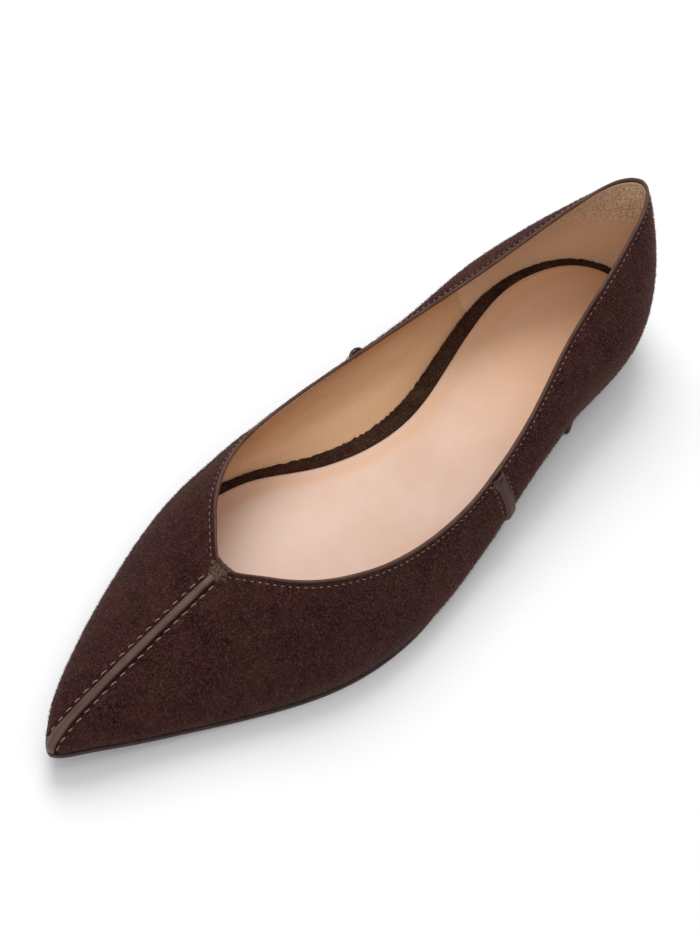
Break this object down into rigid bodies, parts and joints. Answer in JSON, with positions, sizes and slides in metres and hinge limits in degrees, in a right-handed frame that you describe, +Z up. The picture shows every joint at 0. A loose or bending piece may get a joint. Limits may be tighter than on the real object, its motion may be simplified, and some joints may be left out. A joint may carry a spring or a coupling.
{
  "type": "ballet flat",
  "caption": "Pointed-toe ballet flat for the left foot: hollow suede upper with a bound V topline, raised vamp and side strips, padded insole, thin sole and low covered heel.",
  "frame": {"origin": "on the floor, under the middle of the shoe's outline", "axes": "+Z up; the toe points towards -Y and the heel towards +Y; +X is the outer (lateral) side"},
  "size_m": [0.0818, 0.2579, 0.0619],
  "materials": {
    "brown_suede": "matt suede nap",
    "brown_cover": "smooth, low sheen",
    "brown_leather": "smooth, semi-gloss",
    "nude_leather": "smooth, matt",
    "tan_lining": "smooth, low sheen",
    "pale_thread": "twisted thread",
    "dark_sole": "waxed edge",
    "black_rubber": "matt"
  },
  "bodies": {
    "root": {"upper": "brown_suede", "insole_rim": "brown_suede", "heel": "brown_cover", "topline_binding": "brown_leather", "vamp_strip": "brown_leather", "side_strip_lateral": "brown_leather", "side_strip_medial": "brown_leather", "insole": "nude_leather", "outsole": "dark_sole", "top_lift": "black_rubber"}
  },
  "joints": []
}
